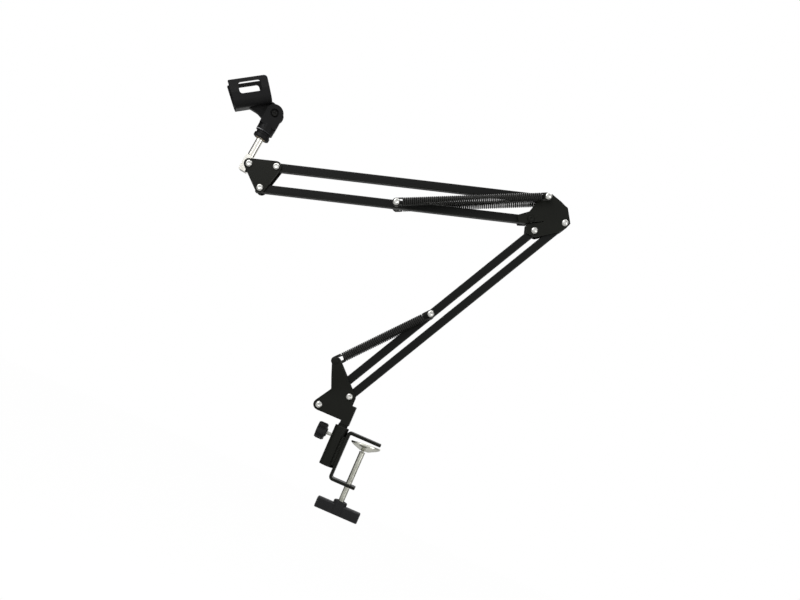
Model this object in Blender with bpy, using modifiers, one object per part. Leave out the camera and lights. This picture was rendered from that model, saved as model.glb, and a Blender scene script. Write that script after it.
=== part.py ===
"""Desk-clamp boom arm for a microphone, with two sprung double-bar arms and a plastic clip.

Units are metres, +Z is up along the clamp's sleeve and +X runs along the clamp's jaws. The viewer
of the reference stands on the -Y side. The origin is on the upper jaw's underside, on the axis of
the clamp screw.
"""
import math

import bmesh
import bpy
from mathutils import Matrix, Vector

# Clamp strip, bent to a C
STRIP_THICK = 0.0038
STRIP_WIDTH = 0.018
THROAT_HEIGHT = 0.057
THROAT_DEPTH = 0.022
JAW_REACH = 0.018
LIP_REACH = 0.0095
BEND_RADIUS = 0.0055

# Pivot sleeve on the clamp and the pin that turns in it
SLEEVE_RADIUS = 0.009
PIN_RADIUS = 0.006
PIN_CLEARANCE = 0.00015
SLEEVE_LENGTH = 0.052
SLEEVE_TOP = 0.005
PIN_DEPTH = 0.046
SLEEVE_FOOT_GAP = 0.007

# Clamp screw, swivel pad and T handle
SCREW_RADIUS = 0.004
PAD_RADIUS = 0.0190
PAD_WALL = 0.0013
PAD_DROP = 0.00385
PAD_RIM = 0.0018
PAD_DEPTH = 0.0086
PAD_SHOULDER_RADIUS = 0.0156
PAD_SHOULDER_DEPTH = 0.0042
PAD_FLOOR_RADIUS = 0.0052
PAD_NECK_RADIUS = 0.0017
PAD_PLAY = 0.0018
PAD_SHIFT = 0.0015
PAD_TILT = math.radians(5)
PAD_PITCH = math.radians(2.5)
HANDLE_LENGTH = 0.057
HANDLE_HEIGHT = 0.0138
HANDLE_DEPTH = 0.0125
HANDLE_TOP = -0.0848
HUB_RADIUS = 0.0087
HUB_HEIGHT = 0.0047

# Thumb screw in the sleeve's side
STUD_RADIUS = 0.00235
STUD_HEIGHT = -0.0095
STUD_REACH = 0.0075
STUD_BACK_OFF = 0.0006
KNOB_RADIUS = 0.0105
KNOB_THICK = 0.0115
KNOB_LOBES = 6

# Square bars and the sheet metal that carries them
BAR = 0.010
BAR_WALL = 0.0012
BAR_CORNER = 0.0012
BAR_END = 0.0058
SHEET = 0.0015
SHEET_GAP = 0.0009
LOWER_ARM = 0.340
UPPER_ARM = 0.335
LOWER_LINK = 0.0386
UPPER_LINK = 0.0328
LOWER_ANGLE = math.radians(62.4)
LOWER_LINK_ANGLE = math.radians(37.5)
UPPER_ANGLE = math.radians(196.8)
UPPER_LINK_ANGLE = math.radians(75.5)
LOBE_RADIUS = 0.0066

# Base bracket
BASE_LOBE = 0.007
BASE_PIVOT_OFFSET = 0.0375
WEB_OFFSET = 0.0065
WEB_TOP = 0.0213
NECK_WIDTH = 0.0116
NECK_DROP = 0.0036
TONGUE_FLARE = 0.0070
TONGUE_TIP = (-0.0027, 0.0571)
TONGUE_APEX = (-0.0111, 0.0186)
TONGUE_APEX_RADIUS = 0.0046
BRACKET_WAIST = (0.0062, 0.0236)
BRACKET_WAIST_RADIUS = 0.002
TONGUE_FOLD_ANGLE = math.radians(36)
TONGUE_FOLD_START = 0.0122
TONGUE_FOLD_END = 0.0303

# Elbow plates
ELBOW_UPPER_PIVOT = (-0.0097, 0.0108)
ELBOW_FLARE = 0.0025
ELBOW_FOLD_ANGLE = math.radians(60)
ELBOW_FOLD_LENGTH = 0.006
SLIT_WIDTH = 0.0011
SLIT_START = (-0.0031, -0.0064)
SLIT_END = (0.0161, 0.0046)
ELBOW_FOOT_SHIFT = 0.0002
ELBOW_SHOULDER_SHIFT = -0.0039
ELBOW_CREST = (-0.0025, 0.0185)
ELBOW_WAIST = (-0.0054, 0.0077)
TAB_TIP = (-0.0174, -0.0022)
TAB_HEEL = (-0.0115, -0.0096)
TAB_EDGE = 0.002

# Head, swivel block and rod
HEAD_SWIVEL = (-0.0322, -0.0099)
BLOCK_AXIS_OFFSET = 0.0047
BLOCK_WIDTH = 0.009
BLOCK_TOP = 0.0098
BLOCK_FOOT = 0.0112
BLOCK_EAR = 0.005
BLOCK_CLEARANCE = 0.0004
ROD_RADIUS = 0.0044
ROD_TENON_RADIUS = 0.003
ROD_TENON = 0.007
ROD_ANGLE = math.radians(84)

# Fasteners
BOLT_RADIUS = 0.0025
BOLT_HEAD_RADIUS = 0.0044
BOLT_HEAD_HEIGHT = 0.0026
HOLE_CLEARANCE = 0.0003
SOCKET_RADIUS = 0.0017
NUT_RADIUS = 0.0046
NUT_HEIGHT = 0.0038
SPACER_WALL = 0.0013
TOUCH_GAP = 0.0003

# Springs
COIL_RADIUS = 0.0046
SPRING_WIRE = 0.0013
LOWER_SPRING_ANCHOR = 0.176
UPPER_SPRING_ANCHOR = 0.166
LOWER_SPRING_PLANE = 0.0104
UPPER_SPRING_PLANE = 0.0153
LOWER_COIL_START = 0.0105
UPPER_COIL_START = 0.0080
RIVET_RADIUS = 0.002
RIVET_HEAD_RADIUS = 0.0048

# Microphone clip: channel along the microphone, tongue down to the pivot
CLIP_PIVOT = 0.0686
CLIP_YAW = math.radians(15)
CLIP_TILT = math.radians(-41.5)
CHANNEL_LENGTH = 0.048
CHANNEL_WIDTH = 0.033
CHANNEL_WALL = 0.0027
CHANNEL_BASE = 0.0120
CHANNEL_HEIGHT = 0.0328
CHANNEL_WAIST = 0.0180
CHANNEL_PINCH = 0.0018
CHANNEL_CORNER = 0.004
CHANNEL_OFFSET = 0.0002
CHANNEL_END_SLOPE = math.radians(6)
WINDOW_LENGTH = 0.0275
WINDOW_HEIGHT = 0.0136
WINDOW_RIM = 0.0042
WINDOW_OFFSET = 0.0230
TONGUE_THICK = 0.008
TONGUE_RADIUS = 0.0108
CHEEK_GAP = 0.0003
CHEEK_HALF_DEPTH = 0.010
BASE_RADIUS = 0.0108
BASE_SKIRT = 0.0257
SKIRT_GROOVE = 0.003
SKIRT_EDGE = 0.001
BASE_LENGTH = 0.0342
SLOT_FLOOR = 0.0152
INSERT_RADIUS = 0.0062
INSERT_LENGTH = 0.0135
CLIP_SCREW_RADIUS = 0.002
CLIP_SCREW_HEAD = 0.0038
RECESS_RADIUS = 0.0055
RECESS_DEPTH = 0.0026

# Places that follow from the sizes above
BAR_HALF = BAR / 2
SHEET_IN = BAR_HALF + SHEET_GAP
SHEET_OUT = SHEET_IN + SHEET
SPINE_OUTER = -(THROAT_DEPTH + STRIP_THICK)
SLEEVE_X = SPINE_OUTER - SLEEVE_RADIUS
LIP_TOP = -THROAT_HEIGHT
BRACKET_BOTTOM = SLEEVE_TOP + SLEEVE_FOOT_GAP
BASE_PIVOT = Vector((SLEEVE_X - BASE_PIVOT_OFFSET, 0, BRACKET_BOTTOM + BASE_LOBE))
BOLT_HOLE = BOLT_RADIUS + HOLE_CLEARANCE


def polar(length, angle):
    """A step of this length in the plane of the arms, with the angle measured from +X towards +Z."""
    return Vector((length * math.cos(angle), 0, length * math.sin(angle)))


B1 = BASE_PIVOT
B2 = B1 + polar(LOWER_LINK, LOWER_LINK_ANGLE)
E1 = B1 + polar(LOWER_ARM, LOWER_ANGLE)
E2 = E1 + polar(LOWER_LINK, LOWER_LINK_ANGLE)
U2 = E1 + Vector((ELBOW_UPPER_PIVOT[0], 0, ELBOW_UPPER_PIVOT[1]))
U1 = U2 + polar(UPPER_LINK, UPPER_LINK_ANGLE)
H3 = U2 + polar(UPPER_ARM, UPPER_ANGLE)
H2 = H3 + polar(UPPER_LINK, UPPER_LINK_ANGLE)
H1 = H2 + Vector((HEAD_SWIVEL[0], 0, HEAD_SWIVEL[1]))

for old in list(bpy.data.objects):
    bpy.data.objects.remove(old)

PARTS = bpy.data.collections.new("boom_arm")
CUTTERS = bpy.data.collections.new("cutters")
for group in (PARTS, CUTTERS):
    bpy.context.scene.collection.children.link(group)


def material(name, colour, roughness, metallic):
    """A plain Principled material."""
    made = bpy.data.materials.new(name)
    made.use_nodes = True
    shader = made.node_tree.nodes["Principled BSDF"]
    shader.inputs["Base Color"].default_value = (*colour, 1)
    shader.inputs["Roughness"].default_value = roughness
    shader.inputs["Metallic"].default_value = metallic
    return made


PAINT = ("black_paint", (0.022, 0.023, 0.021), 0.45, 0.0)
PLASTIC = ("black_plastic", (0.024, 0.024, 0.025), 0.55, 0.0)
NICKEL = ("nickel", (0.66, 0.65, 0.60), 0.25, 1.0)
ZINC = ("zinc", (0.60, 0.60, 0.58), 0.35, 1.0)
SPRING_STEEL = ("black_spring_steel", (0.03, 0.03, 0.03), 0.4, 0.6)
BRASS = ("brass", (0.60, 0.45, 0.20), 0.35, 1.0)


def pivot(name, place, angle=0.0, parent=None):
    """An empty on a joint's axis. Its local X is turned up from +X by the angle."""
    empty = bpy.data.objects.new(name, None)
    PARTS.objects.link(empty)
    empty.parent = parent
    empty.location = place
    empty.rotation_euler = (0, -angle, 0)
    return empty


def part(name, shape, look, place=(0, 0, 0), parent=None, turn=(0, 0, 0)):
    """Make a finished piece of a shape: its name, its own material and its place."""
    shape.name = name
    shape.data.name = name
    shape.data.materials.clear()
    kind, colour, roughness, metallic = look
    shape.data.materials.append(material(name + "_" + kind, colour, roughness, metallic))
    shape.parent = parent
    shape.location = place
    shape.rotation_euler = turn
    return shape


def mesh_object(mesh, name="shape"):
    made = bpy.data.objects.new(name, mesh)
    PARTS.objects.link(made)
    return made


def welded(source):
    """Turn a curve or a piece with modifiers into a plain mesh object with its seams merged."""
    bpy.context.view_layer.update()
    seen = source.evaluated_get(bpy.context.evaluated_depsgraph_get())
    mesh = bpy.data.meshes.new_from_object(seen)
    mesh.transform(source.matrix_world)
    body = bmesh.new()
    body.from_mesh(mesh)
    bmesh.ops.remove_doubles(body, verts=body.verts, dist=1e-6)
    bmesh.ops.recalc_face_normals(body, faces=body.faces)
    body.to_mesh(mesh)
    body.free()
    bpy.data.objects.remove(source)
    return mesh_object(mesh)


def fillet(corners, steps=4):
    """Points of a closed outline from corners (x, z, radius), each corner rounded by its radius."""
    points = []
    for i, (x, z, radius) in enumerate(corners):
        here = Vector((x, z))
        back = Vector(corners[i - 1][:2]) - here
        ahead = Vector(corners[(i + 1) % len(corners)][:2]) - here
        if radius <= 0:
            points.append(here)
            continue
        half = back.angle(ahead) / 2
        reach = min(radius / math.tan(half), 0.49 * back.length, 0.49 * ahead.length)
        centre = here + (back.normalized() + ahead.normalized()).normalized() * (reach / math.cos(half))
        first = here + back.normalized() * reach - centre
        last = here + ahead.normalized() * reach - centre
        sweep = first.angle_signed(last)
        for step in range(steps + 1):
            points.append(centre + Matrix.Rotation(-sweep * step / steps, 2) @ first)
    return points


def circle(x, z, radius, steps=16):
    return [Vector((x + radius * math.cos(2 * math.pi * i / steps),
                    z + radius * math.sin(2 * math.pi * i / steps))) for i in range(steps)]


def prism(loops, low, high):
    """A flat outline with holes in the XZ plane, drawn out along Y from low to high."""
    curve = bpy.data.curves.new("outline", "CURVE")
    curve.dimensions = "2D"
    curve.fill_mode = "BOTH"
    curve.extrude = (high - low) / 2
    for loop in loops:
        spline = curve.splines.new("POLY")
        spline.points.add(len(loop) - 1)
        for point, (x, z) in zip(spline.points, loop):
            point.co = (x, z, 0, 1)
        spline.use_cyclic_u = True
    flat = bpy.data.objects.new("outline", curve)
    PARTS.objects.link(flat)
    flat.rotation_euler = (math.pi / 2, 0, 0)
    flat.location = (0, (low + high) / 2, 0)
    return welded(flat)


def box(low, high):
    """A box between two corners."""
    body = bmesh.new()
    bmesh.ops.create_cube(body, size=1)
    size = Vector(high) - Vector(low)
    bmesh.ops.scale(body, verts=body.verts, vec=size)
    bmesh.ops.translate(body, verts=body.verts, vec=Vector(low) + size / 2)
    mesh = bpy.data.meshes.new("box")
    body.to_mesh(mesh)
    body.free()
    return mesh_object(mesh)


def rod_along(axis, radius, low, high, sides=20, centre=(0, 0, 0)):
    """A cylinder along X, Y or Z from low to high."""
    body = bmesh.new()
    bmesh.ops.create_cone(body, cap_ends=True, segments=sides, radius1=radius, radius2=radius,
                          depth=high - low)
    turn = {"X": Matrix.Rotation(math.pi / 2, 3, "Y"), "Y": Matrix.Rotation(-math.pi / 2, 3, "X"),
            "Z": Matrix.Identity(3)}[axis]
    bmesh.ops.rotate(body, verts=body.verts, matrix=turn)
    middle = Vector(centre)
    middle["XYZ".index(axis)] += (low + high) / 2
    bmesh.ops.translate(body, verts=body.verts, vec=middle)
    mesh = bpy.data.meshes.new("rod")
    body.to_mesh(mesh)
    body.free()
    return mesh_object(mesh)


def turned(profile, steps=20):
    """A turned shape round Z. The profile is (radius, height) pairs from top to bottom."""
    mesh = bpy.data.meshes.new("profile")
    mesh.from_pydata([(r, 0, z) for r, z in profile], [(i, i + 1) for i in range(len(profile) - 1)], [])
    shape = mesh_object(mesh)
    screw = shape.modifiers.new("turn", "SCREW")
    screw.steps = steps
    screw.render_steps = steps
    screw.use_merge_vertices = True
    screw.merge_threshold = 1e-5
    return welded(shape)


def combine(shape, tool, operation):
    """Cut or join with an exact Boolean, then drop the tool and keep the plain result."""
    PARTS.objects.unlink(tool)
    CUTTERS.objects.link(tool)
    tool.hide_render = True
    tool.display_type = "WIRE"
    change = shape.modifiers.new(operation.lower(), "BOOLEAN")
    change.operation = operation
    change.solver = "EXACT"
    change.object = tool
    done = welded(shape)
    bpy.data.objects.remove(tool)
    return done


def cut(shape, *tools):
    for tool in tools:
        shape = combine(shape, tool, "DIFFERENCE")
    return shape


def join(shape, *tools):
    for tool in tools:
        shape = combine(shape, tool, "UNION")
    return shape


def flare(shape, start, end, angle, offset, keep=lambda point: True):
    """Joggle a sheet sideways. The fold runs at the angle; past its end the sheet lies offset in Y."""
    normal = Vector((-math.sin(angle), 0, math.cos(angle)))
    body = bmesh.new()
    body.from_mesh(shape.data)
    for distance in (start, end):
        bmesh.ops.bisect_plane(body, geom=body.verts[:] + body.edges[:] + body.faces[:],
                               plane_co=normal * distance, plane_no=normal, dist=1e-7)
    for vert in body.verts:
        share = (vert.co.dot(normal) - start) / (end - start)
        if keep(vert.co):
            vert.co.y += offset * max(0.0, min(1.0, share))
    body.to_mesh(shape.data)
    body.free()
    return shape


def moved(shape, vector):
    shape.data.transform(Matrix.Translation(vector))
    return shape


# Clamp

def make_clamp():
    """C-shaped strip, the sleeve welded to its spine, and the holes for the screw and the stud."""
    inner = BEND_RADIUS - STRIP_THICK
    lip_low = LIP_TOP - STRIP_THICK
    corners = [
        (SPINE_OUTER, lip_low, BEND_RADIUS), (LIP_REACH, lip_low, STRIP_THICK / 3),
        (LIP_REACH, LIP_TOP, STRIP_THICK / 3), (-THROAT_DEPTH, LIP_TOP, inner),
        (-THROAT_DEPTH, 0, inner), (JAW_REACH, 0, STRIP_THICK / 3),
        (JAW_REACH, STRIP_THICK, STRIP_THICK / 3), (SPINE_OUTER, STRIP_THICK, BEND_RADIUS * 0.7)]
    frame = prism([fillet(corners)], -STRIP_WIDTH / 2, STRIP_WIDTH / 2)
    frame = cut(frame, rod_along("Z", SCREW_RADIUS + HOLE_CLEARANCE, lip_low - STRIP_THICK,
                                 LIP_TOP + STRIP_THICK))
    part("clamp_frame", frame, PAINT)

    low = SLEEVE_TOP - SLEEVE_LENGTH
    bore = PIN_RADIUS + PIN_CLEARANCE
    chamfer = STRIP_THICK / 8
    wall = turned([(bore, SLEEVE_TOP), (SLEEVE_RADIUS - chamfer, SLEEVE_TOP),
                   (SLEEVE_RADIUS, SLEEVE_TOP - chamfer), (SLEEVE_RADIUS, low), (bore, low),
                   (bore, SLEEVE_TOP)], 32)
    wall = cut(wall, rod_along("X", STUD_RADIUS + HOLE_CLEARANCE, -2 * SLEEVE_RADIUS, 0, 16,
                               (0, 0, STUD_HEIGHT)))
    part("pivot_sleeve", wall, PAINT, (SLEEVE_X - TOUCH_GAP, 0, 0))


def make_thumb_screw():
    """Stud through the sleeve's wall with a lobed plastic knob, backed off so that the pin turns."""
    axis = pivot("thumb_screw_axis", (SLEEVE_X - TOUCH_GAP, 0, STUD_HEIGHT))
    tip = -(PIN_RADIUS + PIN_CLEARANCE + STUD_BACK_OFF)
    knob_face = -(SLEEVE_RADIUS + STUD_REACH)
    stud = rod_along("X", STUD_RADIUS, knob_face - KNOB_THICK * 0.7, tip, 16)
    part("thumb_screw_stud", stud, ZINC, parent=axis)

    valley = KNOB_RADIUS * 0.82
    outline = []
    for i in range(KNOB_LOBES):
        turn = 2 * math.pi * i / KNOB_LOBES
        half = math.pi / KNOB_LOBES
        for share, radius in ((-0.55, KNOB_RADIUS), (0.55, KNOB_RADIUS), (1.0, valley)):
            angle = turn + share * half
            outline.append((radius * math.cos(angle), radius * math.sin(angle), KNOB_RADIUS * 0.2))
    knob = prism([fillet(outline, 2)], 0, KNOB_THICK)
    boss = rod_along("Y", KNOB_RADIUS * 0.5, -KNOB_THICK * 0.14, KNOB_THICK * 0.5, 16)
    knob = join(knob, boss)
    knob = cut(knob, rod_along("Y", STUD_RADIUS + TOUCH_GAP, -KNOB_THICK, KNOB_THICK * 0.75, 16))
    knob.data.transform(Matrix.Rotation(math.pi / 2, 4, "Z"))
    part("thumb_screw_knob", moved(knob, (knob_face, 0, 0)), PLASTIC, parent=axis)


def make_clamp_screw():
    """Screw with the dished pad held loosely on its riveted end, and the moulded T handle."""
    floor = -(PAD_DROP + PAD_DEPTH)
    hole = PAD_NECK_RADIUS + PAD_PLAY
    inside = PAD_WALL - PAD_DEPTH
    profile = [
        (hole, inside), (PAD_FLOOR_RADIUS - PAD_WALL / 2, inside),
        (PAD_SHOULDER_RADIUS - PAD_WALL / 2, PAD_WALL - PAD_SHOULDER_DEPTH),
        (PAD_RADIUS - PAD_WALL, -PAD_RIM), (PAD_RADIUS - PAD_WALL, 0), (PAD_RADIUS, 0),
        (PAD_RADIUS, -PAD_RIM), (PAD_SHOULDER_RADIUS, -PAD_SHOULDER_DEPTH),
        (PAD_FLOOR_RADIUS, -PAD_DEPTH), (hole, -PAD_DEPTH), (hole, inside)]
    pad = moved(turned(profile, 32), (0, 0, PAD_DEPTH))
    part("swivel_pad", pad, NICKEL, (PAD_SHIFT, 0, floor), turn=(-PAD_PITCH, -PAD_TILT, 0))

    shoulder = floor - SCREW_RADIUS * math.sin(PAD_TILT + PAD_PITCH) - TOUCH_GAP
    rivet = hole + PAD_SHIFT + TOUCH_GAP
    rivet_low = floor + PAD_WALL + (rivet + PAD_SHIFT) * math.sin(PAD_TILT + PAD_PITCH) + TOUCH_GAP
    rivet_top = rivet_low + PAD_WALL
    screw_low = HANDLE_TOP - HANDLE_HEIGHT * 0.6
    chamfer = SCREW_RADIUS * 0.2
    screw = turned([(0, rivet_top), (rivet - chamfer, rivet_top), (rivet, rivet_top - chamfer),
                    (rivet, rivet_low), (PAD_NECK_RADIUS, rivet_low), (PAD_NECK_RADIUS, shoulder),
                    (SCREW_RADIUS - chamfer, shoulder), (SCREW_RADIUS, shoulder - chamfer),
                    (SCREW_RADIUS, screw_low), (0, screw_low)], 24)
    part("clamp_screw", screw, NICKEL)

    half = HANDLE_LENGTH / 2
    low = HANDLE_TOP - HANDLE_HEIGHT
    edge = HANDLE_HEIGHT * 0.12
    bar = prism([fillet([(-half, low, edge), (half, low, edge), (half, HANDLE_TOP, edge),
                         (-half, HANDLE_TOP, edge)], 2)], -HANDLE_DEPTH / 2, HANDLE_DEPTH / 2)
    hub_high = HANDLE_TOP + HUB_HEIGHT
    hub = turned([(0, hub_high), (HUB_RADIUS * 0.88, hub_high), (HUB_RADIUS, hub_high - edge),
                  (HUB_RADIUS, low + edge), (HUB_RADIUS * 0.88, low + edge / 2), (0, low + edge / 2)], 24)
    handle = join(bar, hub)
    handle = cut(handle, rod_along("Z", SCREW_RADIUS + TOUCH_GAP, screw_low - TOUCH_GAP,
                                   hub_high + HUB_HEIGHT, 24))
    part("clamp_handle", handle, PLASTIC)


# Fasteners

def make_bolt(name, place, reach_front, reach_back, look=ZINC, parent=None):
    """Button-head bolt along Y with a hexagon socket, and its nut on the far side."""
    dome = [(BOLT_HEAD_RADIUS * math.sin(a), BOLT_HEAD_HEIGHT * math.cos(a))
            for a in (math.pi / 2 * i / 4 for i in range(5))]
    tail = reach_back + NUT_HEIGHT + TOUCH_GAP * 3
    length = reach_front + tail
    bolt = turned(dome + [(BOLT_RADIUS, 0), (BOLT_RADIUS, -length), (0, -length)], 16)
    bolt = cut(bolt, rod_along("Z", SOCKET_RADIUS, BOLT_HEAD_HEIGHT * 0.35, BOLT_HEAD_HEIGHT * 2, 6))
    part(name, bolt, look, place + Vector((0, -reach_front - TOUCH_GAP, 0)), parent,
         (math.pi / 2, 0, 0))
    make_nut(name.replace("bolt", "nut"), place, reach_back, look, parent)


def make_nut(name, place, reach_back, look, parent):
    corners = [(x, z, 0) for x, z in circle(0, 0, NUT_RADIUS, 6)]
    low = reach_back + TOUCH_GAP
    nut = prism([fillet(corners), circle(0, 0, BOLT_RADIUS + TOUCH_GAP, 16)], low, low + NUT_HEIGHT)
    part(name, nut, look, place, parent)


def make_spacer(name, place, near, far, look, parent=None):
    """Plain sleeve on a bolt along Y, between two distances from the middle plane."""
    low, high = sorted((near, far))
    bore = BOLT_RADIUS + TOUCH_GAP
    ring = prism([circle(0, 0, bore + SPACER_WALL), circle(0, 0, bore)], low + TOUCH_GAP,
                 high - TOUCH_GAP)
    part(name, ring, look, place, parent)


# Bars and springs

def make_bar(name, place, length, angle, holes):
    """Square tube along its local X from a pivot, with cross holes at these distances from it."""
    half, bore = BAR_HALF, BAR_HALF - BAR_WALL
    outer = fillet([(-half, -half, BAR_CORNER), (half, -half, BAR_CORNER), (half, half, BAR_CORNER),
                    (-half, half, BAR_CORNER)], 2)
    bar = prism([outer], -BAR_END, length + BAR_END)
    bar.data.transform(Matrix.Rotation(-math.pi / 2, 4, "Z"))
    bar = cut(bar, box((-2 * BAR_END, -bore, -bore), (length + 2 * BAR_END, bore, bore)))
    for hole in holes:
        bar = cut(bar, rod_along("Y", BOLT_HOLE, -BAR, BAR, 16, (hole, 0, 0)))
    axis = pivot(name + "_axis", place, angle)
    part(name, bar, PAINT, parent=axis)
    return axis


def make_spring(name, start, end, plane, coil_start, coil_end):
    """Coil seen as a tube, with a wire loop at each end round a bolt or a rivet."""
    run = end - start
    length = run.length
    mean = COIL_RADIUS - SPRING_WIRE / 2
    bore = COIL_RADIUS - 1.5 * SPRING_WIRE
    coil = turned([(bore, length - coil_end), (COIL_RADIUS, length - coil_end),
                   (COIL_RADIUS, coil_start), (bore, coil_start), (bore, length - coil_end)], 16)
    for centre, reach, out in ((0, coil_start, -1), (length, coil_end, 1)):
        path = bpy.data.curves.new("loop", "CURVE")
        path.dimensions = "3D"
        path.bevel_depth = SPRING_WIRE / 2
        path.bevel_resolution = 2
        path.use_fill_caps = True
        arc = [math.pi * i / 8 for i in range(9)]
        inside = centre - out * (reach + SPRING_WIRE)
        points = [(mean, inside)]
        points += [(mean * math.cos(a), centre + out * mean * math.sin(a)) for a in arc]
        points += [(-mean, inside)]
        spline = path.splines.new("POLY")
        spline.points.add(len(points) - 1)
        for point, (x, z) in zip(spline.points, points):
            point.co = (x, 0, z, 1)
        wire = bpy.data.objects.new("loop", path)
        PARTS.objects.link(wire)
        coil = join(coil, welded(wire))
    part(name, coil, SPRING_STEEL, start + Vector((0, plane, 0)),
         turn=(0, math.atan2(run.x, run.z), 0))


def make_lower_arm():
    """Two bars between the base bracket and the elbow, with a spring on each side."""
    make_bar("lower_bar_left", B1, LOWER_ARM, LOWER_ANGLE, (0, LOWER_SPRING_ANCHOR, LOWER_ARM))
    make_bar("lower_bar_right", B2, LOWER_ARM, LOWER_ANGLE, (0, LOWER_ARM))
    anchor = B1 + polar(LOWER_SPRING_ANCHOR, LOWER_ANGLE)
    reach = LOWER_SPRING_PLANE + SPRING_WIRE + TOUCH_GAP
    make_bolt("lower_spring_bolt", anchor, reach, reach)
    tip = B1 + Vector((TONGUE_TIP[0], 0, TONGUE_TIP[1]))
    for side, name in ((-1, "front"), (1, "rear")):
        make_spring("lower_spring_" + name, tip, anchor, side * LOWER_SPRING_PLANE, LOWER_COIL_START,
                    LOWER_COIL_START)
        make_rivet("spring_rivet_" + name, tip, side)


def make_rivet(name, place, side):
    """Domed rivet through a tongue's tip. Its shank holds the spring's loop inside the tongue."""
    inner = SHEET_IN + TONGUE_FLARE
    outer = inner + SHEET + TOUCH_GAP
    flange = LOWER_SPRING_PLANE - 2 * SPRING_WIRE
    rise = RIVET_HEAD_RADIUS * 0.3
    rivet = turned([(0, outer + rise), (RIVET_HEAD_RADIUS * 0.7, outer + rise * 0.8),
                    (RIVET_HEAD_RADIUS, outer), (RIVET_RADIUS, outer), (RIVET_RADIUS, flange),
                    (RIVET_RADIUS * 1.6, flange), (RIVET_RADIUS * 1.6, flange - SPRING_WIRE),
                    (0, flange - SPRING_WIRE)], 20)
    part(name, rivet, PAINT, place, turn=(-side * math.pi / 2, 0, 0))


def make_upper_arm():
    """Two bars between the elbow and the head, with a spring on each side of the lower one."""
    make_bar("upper_bar_bottom", U2, UPPER_ARM, UPPER_ANGLE, (0, UPPER_SPRING_ANCHOR, UPPER_ARM))
    make_bar("upper_bar_top", U1, UPPER_ARM, UPPER_ANGLE, (0, UPPER_ARM))
    anchor = U2 + polar(UPPER_SPRING_ANCHOR, UPPER_ANGLE)
    reach = UPPER_SPRING_PLANE + SPRING_WIRE + TOUCH_GAP
    make_bolt("upper_spring_bolt", anchor, reach, reach)
    for side, name in ((-1, "front"), (1, "rear")):
        make_spring("upper_spring_" + name, U1, anchor, side * UPPER_SPRING_PLANE, UPPER_COIL_START,
                    UPPER_COIL_START)
        make_spacer("upper_spring_spacer_" + name, anchor, side * BAR_HALF,
                    side * (UPPER_SPRING_PLANE - SPRING_WIRE), ZINC)


# Sheet metal

def make_base():
    """Folded bracket: two flanks with flared tongues, a web between them, and the pivot pin."""
    swivel = pivot("base_swivel_axis", (SLEEVE_X - TOUCH_GAP, 0, 0))
    to_b2 = B2 - B1
    web = SLEEVE_X + WEB_OFFSET - B1.x
    neck = web - NECK_WIDTH
    right = to_b2.x + LOBE_RADIUS + SHEET_GAP
    corners = [
        (-1.79 * BASE_LOBE, -BASE_LOBE, BASE_LOBE), (neck, -BASE_LOBE, 0),
        (neck, -BASE_LOBE - NECK_DROP, 0), (web, -BASE_LOBE - NECK_DROP, 0), (web, WEB_TOP - BASE_LOBE, 0),
        (right, WEB_TOP - BASE_LOBE, 0), (right, to_b2.z + LOBE_RADIUS / 3, LOBE_RADIUS),
        (TONGUE_TIP[0] + TONGUE_APEX[0], TONGUE_TIP[1] + TONGUE_APEX[1], TONGUE_APEX_RADIUS),
        (*BRACKET_WAIST, BRACKET_WAIST_RADIUS)]
    bracket = None
    for side in (-1, 1):
        low, high = sorted((side * SHEET_IN, side * SHEET_OUT))
        loops = [fillet(corners, 5), circle(0, 0, BOLT_HOLE), circle(to_b2.x, to_b2.z, BOLT_HOLE),
                 circle(*TONGUE_TIP, RIVET_RADIUS + TOUCH_GAP)]
        flank = prism(loops, low, high)
        flare(flank, TONGUE_FOLD_START, TONGUE_FOLD_END, TONGUE_FOLD_ANGLE, side * TONGUE_FLARE)
        bracket = join(bracket, flank) if bracket else flank
        if side < 0:
            bracket = join(bracket, box((web - SHEET, -SHEET_OUT, -BASE_LOBE - NECK_DROP),
                                        (web, SHEET_OUT, WEB_TOP - BASE_LOBE)))
    part("base_bracket", bracket, PAINT, B1 - Vector(swivel.location), swivel)

    pin_low = SLEEVE_TOP - PIN_DEPTH
    shoulder = BRACKET_BOTTOM - NECK_DROP - TOUCH_GAP
    pin = turned([(0, shoulder), (PIN_RADIUS, shoulder), (PIN_RADIUS, pin_low), (0, pin_low)], 32)
    tang_half = SHEET_IN - TOUCH_GAP
    tang = box((-PIN_RADIUS * 0.8, -tang_half, SLEEVE_TOP + 2 * TOUCH_GAP),
               (WEB_OFFSET - SHEET - 2 * TOUCH_GAP, tang_half, BRACKET_BOTTOM + WEB_TOP * 0.8))
    part("pivot_pin", join(pin, tang), PAINT, parent=swivel)
    make_bolt("base_bolt_left", B1, SHEET_OUT, SHEET_OUT)
    make_bolt("base_bolt_right", B2, SHEET_OUT, SHEET_OUT)


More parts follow.
